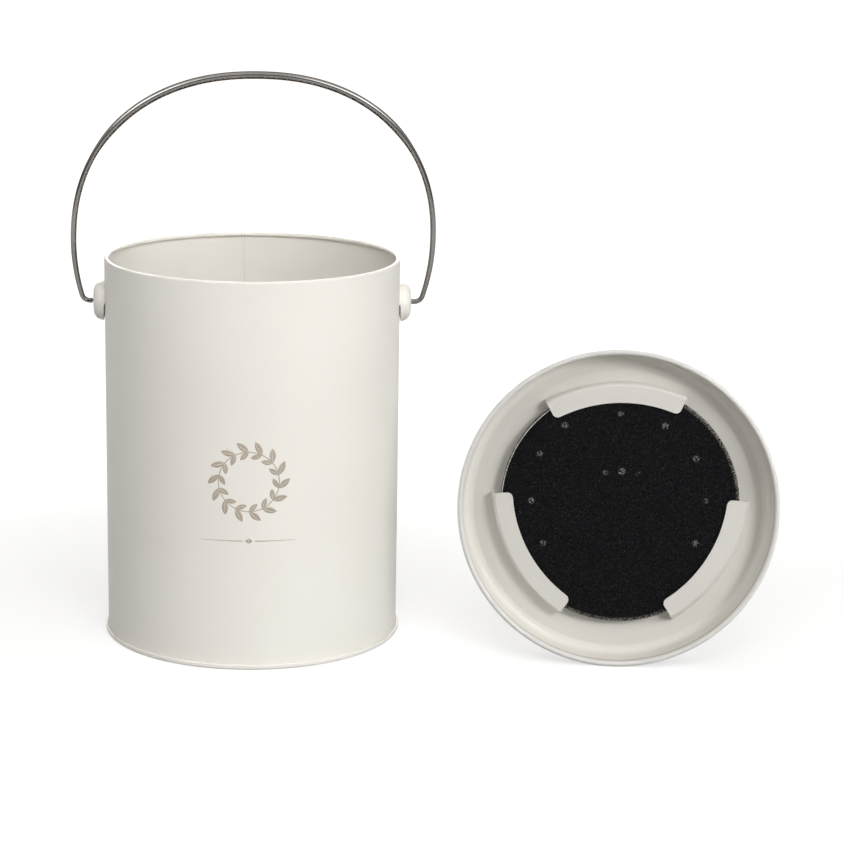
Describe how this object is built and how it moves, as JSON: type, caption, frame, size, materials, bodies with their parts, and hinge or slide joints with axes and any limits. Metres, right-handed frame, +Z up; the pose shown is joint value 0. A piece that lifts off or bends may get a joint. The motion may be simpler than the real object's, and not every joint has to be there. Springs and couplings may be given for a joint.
{
  "type": "compost caddy",
  "caption": "Round lidded kitchen pail with a swinging wire bail and a lift-off vented lid that holds a round charcoal filter pad.",
  "frame": {"origin": "centre of the pail's base seam, on the surface that the pail stands on", "axes": "+Z up, +X through the right ear along the bail's hinge line, -Y to the front, where the lid shows its inside"},
  "size_m": [0.3894, 0.1694, 0.3176],
  "materials": {
    "cream_coat": "smooth satin powder coat",
    "motif_print": "matt one-colour print",
    "bail_steel": "drawn and polished stainless wire",
    "charcoal_felt": "matt needle-punched carbon felt",
    "knob_steel": "turned and brushed",
    "screw_steel": "plain zinc"
  },
  "bodies": {
    "pail": {"pail_shell": "cream_coat", "pail_base": "cream_coat", "ear_left": "cream_coat", "ear_right": "cream_coat"},
    "bail": {"bail": "bail_steel"},
    "lid": {"lid_shell": "cream_coat", "clip_top": "cream_coat", "clip_left": "cream_coat", "clip_right": "cream_coat", "filter_pad": "charcoal_felt", "lid_knob": "knob_steel", "knob_screw": "screw_steel", "knob_washer": "screw_steel"}
  },
  "joints": [
    {"name": "bail_swing", "type": "hinge", "parent": "pail", "child": "bail", "pos_m": [0, 0, 0.1893], "axis": [1, 0, 0], "range_deg": [-137, 137]},
    {"name": "lid_lift", "type": "slide", "parent": "pail", "child": "lid", "axis": [0, 0, 1], "range_m": [0, 0.33]}
  ]
}
